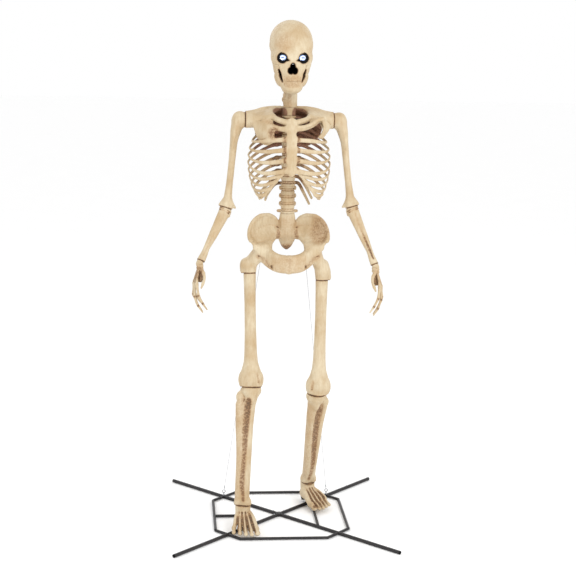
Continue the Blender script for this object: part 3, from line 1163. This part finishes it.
class Paint:
    """A node material under construction; a value from a node is given as (node, output)."""
    made = {}

    def __init__(self, name):
        self.material = bpy.data.materials.new(name)
        self.material.use_nodes = True
        self.tree = self.material.node_tree
        self.shader = self.tree.nodes["Principled BSDF"]

    def node(self, kind, **settings):
        n = self.tree.nodes.new(kind)
        for key, value in settings.items():
            setattr(n, key, value)
        return n

    def feed(self, node, **values):
        """Sets inputs of a node, each to a constant or a node's output."""
        for key, value in values.items():
            self.put(node, key.replace("_", " "), value)

    def put(self, node, key, value):
        if isinstance(value, tuple) and isinstance(value[0], bpy.types.Node):
            self.tree.links.new(value[0].outputs[value[1]], node.inputs[key])
        else:
            node.inputs[key].default_value = value

    def look(self, **values):
        self.feed(self.shader, **values)

    def place(self, stretch=(1, 1, 1)):
        """Object coordinates, stretched."""
        scaled = self.node("ShaderNodeMapping")
        self.feed(scaled, Scale=stretch, Vector=(self.node("ShaderNodeTexCoord"), "Object"))
        return scaled, "Vector"

    def noise(self, scale, detail=4, stretch=(1, 1, 1), rough=0.55):
        n = self.node("ShaderNodeTexNoise")
        self.feed(n, Scale=scale, Detail=detail, Roughness=rough, Vector=self.place(stretch))
        return n, "Fac"

    def ramp(self, source, *stops):
        """Maps a number to another or to a colour, by (place, value) pairs."""
        r = self.node("ShaderNodeValToRGB")
        e = r.color_ramp.elements
        while len(e) < len(stops):
            e.new(0.5)
        for element, (place, value) in zip(e, stops):
            element.position = place
            element.color = value if isinstance(value, tuple) else (value, value, value, 1)
        self.feed(r, Fac=source)
        return r, "Color"

    def blend(self, share, a, b):
        """Mixes two colours."""
        m = self.node("ShaderNodeMix", data_type="RGBA")
        for index, value in ((0, share), (6, a), (7, b)):
            self.put(m, index, value)
        return m, 2

    def calc(self, operation, *values, clamp=False):
        m = self.node("ShaderNodeMath", operation=operation, use_clamp=clamp)
        for index, value in enumerate(values):
            self.put(m, index, value)
        return m, "Value"

    def relief(self, height, distance, strength, **below):
        b = self.node("ShaderNodeBump")
        self.feed(b, Distance=distance, Strength=strength, Height=height, **below)
        return b, "Normal"


def material(make):
    """Makes each material once."""
    def once():
        if make.__name__ not in Paint.made:
            paint = Paint(make.__name__)
            make(paint)
            Paint.made[make.__name__] = paint.material
        return Paint.made[make.__name__]
    return once


@material
def bone_plastic(p):
    """Cream moulded plastic with tan clouds, a fine grain and brown stain rubbed into the hollows."""
    clouds = p.ramp(p.noise(7, 5), (0.36, 0.0), (0.66, 1.0))
    base = p.blend(clouds, linear(212, 197, 168), linear(192, 168, 132))
    grain = p.noise(60, 6, (1, 1, 0.18), 0.65)
    base = p.blend(p.ramp(grain, (0.42, 0.0), (0.72, 0.42)), base, linear(172, 142, 102))
    split = p.node("ShaderNodeSeparateColor")
    p.feed(split, Color=(p.node("ShaderNodeVertexColor", layer_name="Paint"), "Color"))
    mottle = p.ramp(p.noise(80, 5), (0.38, 0.5), (0.60, 1.12))
    stain = p.calc("MULTIPLY", (split, "Red"), mottle, clamp=True)
    brown = p.ramp(stain, (0.15, linear(178, 138, 96)), (0.55, linear(126, 88, 56)),
                   (1.0, linear(66, 43, 27)))
    base = p.blend(p.ramp(stain, (0.0, 0.0), (0.5, 0.85)), base, brown)
    speckle = p.ramp(p.noise(150, 3), (0.42, linear(112, 78, 62)), (0.58, linear(150, 108, 88)))
    base = p.blend((split, "Blue"), base, speckle)
    base = p.blend((split, "Green"), base, linear(14, 11, 12))
    pores = p.relief(p.noise(420, 4), 0.0006, 0.5)
    p.look(Base_Color=base, Normal=p.relief(grain, 0.0016, 0.6, Normal=pores),
           Roughness=p.ramp(p.noise(30, 4), (0.3, 0.42), (0.7, 0.58)),
           Specular_IOR_Level=p.ramp((split, "Green"), (0.0, 0.25), (0.8, 0.02)))


@material
def dark_steel(p):
    """Black powder coat: fine orange peel and a little dust."""
    dust = p.ramp(p.noise(16, 6), (0.45, 0.0), (0.78, 0.35))
    p.look(Base_Color=p.blend(dust, linear(24, 21, 23), linear(56, 50, 48)),
           Normal=p.relief(p.noise(700, 3), 0.0003, 0.5),
           Roughness=p.ramp(p.noise(24, 4), (0.3, 0.34), (0.7, 0.52)))


@material
def zinc_steel(p):
    """Zinc plate with a faint crystal mottling."""
    spangle = p.node("ShaderNodeTexVoronoi")
    p.feed(spangle, Scale=260, Vector=p.place())
    p.look(Base_Color=p.ramp((spangle, "Color"), (0.0, linear(150, 152, 156)), (1.0, linear(196, 198, 202))),
           Metallic=0.9, Roughness=p.ramp(p.noise(120, 3), (0.3, 0.28), (0.7, 0.46)))


@material
def black_plastic(p):
    """Matt moulded black plastic with a spark-eroded grain."""
    p.look(Base_Color=p.blend(p.noise(40, 4), linear(7, 7, 9), linear(16, 15, 17)),
           Normal=p.relief(p.noise(900, 2), 0.0003, 0.6),
           Roughness=p.ramp(p.noise(50, 3), (0.3, 0.45), (0.7, 0.6)), Specular_IOR_Level=0.08)


EYE_OUT = 0.071                    # how far each eye's centre lies from the middle plane
EYE_Z = 3.401


@material
def eye_glow(p):
    """A lit disc: a white ring, paler blue at its rim, round a small blue-grey dash."""
    split = p.node("ShaderNodeSeparateXYZ")
    p.feed(split, Vector=(p.node("ShaderNodeTexCoord"), "Object"))
    side = p.calc("ABSOLUTE", p.calc("SUBTRACT", (split, "X"), MIDDLE))
    across = p.calc("SUBTRACT", side, EYE_OUT)
    height = p.calc("MULTIPLY", p.calc("SUBTRACT", (split, "Z"), EYE_Z), 1.42)

    def distance(x):
        return p.calc("SQRT", p.calc("ADD", p.calc("POWER", x, 2), p.calc("POWER", height, 2)))

    ring = p.ramp(p.calc("MULTIPLY", distance(across), 40), (0.30, linear(225, 236, 255)),
                  (0.60, linear(236, 242, 255)), (0.80, linear(150, 180, 235)), (0.92, linear(10, 14, 34)))
    dash = distance(p.calc("MULTIPLY", across, 0.55))
    pupil = p.ramp(p.calc("MULTIPLY", dash, 100), (0.42, 1.0), (0.78, 0.0))
    glow = p.blend(pupil, ring, linear(96, 122, 178))
    p.look(Base_Color=glow, Emission_Color=glow, Emission_Strength=0.9, Roughness=0.3)


@material
def lens_glass(p):
    """Clear domed lens."""
    p.look(Base_Color=linear(250, 252, 255), Transmission_Weight=1.0, IOR=1.45,
           Roughness=p.ramp(p.noise(300, 3), (0.4, 0.01), (0.7, 0.05)))


@material
def cable_sheath(p):
    """Black rubbery sheath."""
    p.look(Base_Color=p.blend(p.noise(80, 4), linear(20, 20, 21), linear(38, 37, 37)),
           Normal=p.relief(p.noise(600, 2), 0.0002, 0.5), Roughness=0.62)


@material
def floor_paint(p):
    """Plain pale floor with the faintest unevenness."""
    p.look(Base_Color=p.blend(p.noise(1.5, 3), linear(253, 253, 253), linear(255, 255, 255)), Roughness=0.9)


# ---- Camera, light and floor ----
EYE_POINT = (-0.8068, -9.5983, 3.6013)
LENS = 84.25
FLOOR_SIZE = 60


def camera():
    """The whole figure from in front, from the height of its head, a little to the right and down."""
    data = bpy.data.cameras.new("camera")
    data.sensor_width = 36
    data.lens = LENS
    data.clip_end = 100
    cam = bpy.data.objects.new("camera", data)
    bpy.context.scene.collection.objects.link(cam)
    forward = unit((0.08588, 0.97818, -0.18917))
    right = unit((0.99630, -0.08390, 0.01848))
    up = np.cross(right, forward)
    turn = [[right[k], up[k], -forward[k], EYE_POINT[k]] for k in range(3)]
    cam.matrix_world = Matrix(turn + [[0, 0, 0, 1]])
    bpy.context.scene.camera = cam


def light(name, place, size, power):
    """A round soft lamp that shines on the figure's middle."""
    data = bpy.data.lights.new(name, "AREA")
    data.shape = "DISK"
    data.size = size
    data.energy = power
    lamp = bpy.data.objects.new(name, data)
    bpy.context.scene.collection.objects.link(lamp)
    lamp.location = place
    lamp.rotation_mode = "QUATERNION"
    lamp.rotation_quaternion = (Vector((0, 0, 1.9)) - Vector(place)).to_track_quat("-Z", "Y")


def studio():
    """Plain pale floor, an even white sky and three soft lamps."""
    world = bpy.data.worlds.new("studio")
    bpy.context.scene.world = world
    world.use_nodes = True
    sky = world.node_tree.nodes["Background"].inputs
    sky["Color"].default_value = (1, 1, 1, 1)
    sky["Strength"].default_value = 1.0
    bpy.context.scene.view_settings.view_transform = "Standard"
    light("key", (3.5, -7.0, 6.0), 3.0, 240)
    light("fill", (-6.0, -5.0, 3.5), 4.0, 40)
    light("rim", (-2.5, 5.5, 6.0), 3.0, 60)
    mesh = bpy.data.meshes.new("floor")
    corners = [(x * FLOOR_SIZE, y * FLOOR_SIZE, 0) for x, y in ((-1, -1), (1, -1), (1, 1), (-1, 1))]
    mesh.from_pydata(corners, [], [(0, 1, 2, 3)])
    floor = bpy.data.objects.new("floor", mesh)
    bpy.context.scene.collection.objects.link(floor)
    mesh.materials.append(floor_paint())


# ---- Putting it together ----
# The CAD pieces that are shown as they are, by how their names start; the first match counts.
FINISHES = (
    (zinc_steel, ("eye_bolts", "guy_wire_", "elbow_pin_", "wrist_pin_", "base_screws", "battery_cells")),
    (black_plastic, ("arm_end_caps", "neck_bush", "battery_box", "eye_housings")),
    (cable_sheath, ("eye_cable",)),
    (eye_glow, ("eye_displays",)),
    (lens_glass, ("eye_lenses",)),
    (dark_steel, ("base_", "arm_extensions", "ring_", "foot_bar", "leg_", "knee_couplers", "pelvis_frame",
                  "spine_pole", "shoulder_bar")),
)


def finish_nodes():
    for name, obj in frame["nodes"].items():
        for make, starts in FINISHES:
            if name.startswith(starts):
                obj.data.materials.clear()
                obj.data.materials.append(make())
                break


camera()
studio()
finish_nodes()
for side in (0, 1):
    for build in (thigh, shin, foot, upper_arm, forearm, hand):
        build(side)
for build in (lumbar, neck, ribcage_front, ribcage_rear, shoulder_yoke, pelvis, skull, lower_jaw,
              battery_door):
    build()
